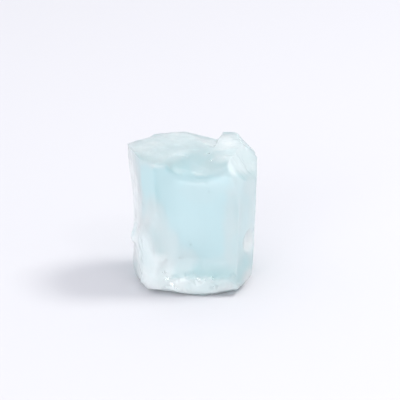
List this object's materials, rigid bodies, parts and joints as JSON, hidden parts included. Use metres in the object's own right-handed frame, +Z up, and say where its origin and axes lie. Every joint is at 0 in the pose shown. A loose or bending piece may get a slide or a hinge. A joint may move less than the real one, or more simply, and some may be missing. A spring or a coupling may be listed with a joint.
{
  "type": "raw beryl crystal",
  "caption": "Pale blue-green raw beryl of the emerald kind: a clear, stout prism with broken ends, standing on its chipped foot.",
  "frame": {"origin": "on the surface it stands on, under the middle of its bounding box", "axes": "+Z up the crystal's long axis, -Y out of its broad front face, +X to the right of that face"},
  "size_m": [0.0158, 0.013, 0.0169],
  "materials": {
    "beryl": "clear pale blue-green crystal with satin growth faces and frosted, chipped ends"
  },
  "bodies": {
    "root": {"emerald_crystal": "beryl"}
  },
  "joints": []
}
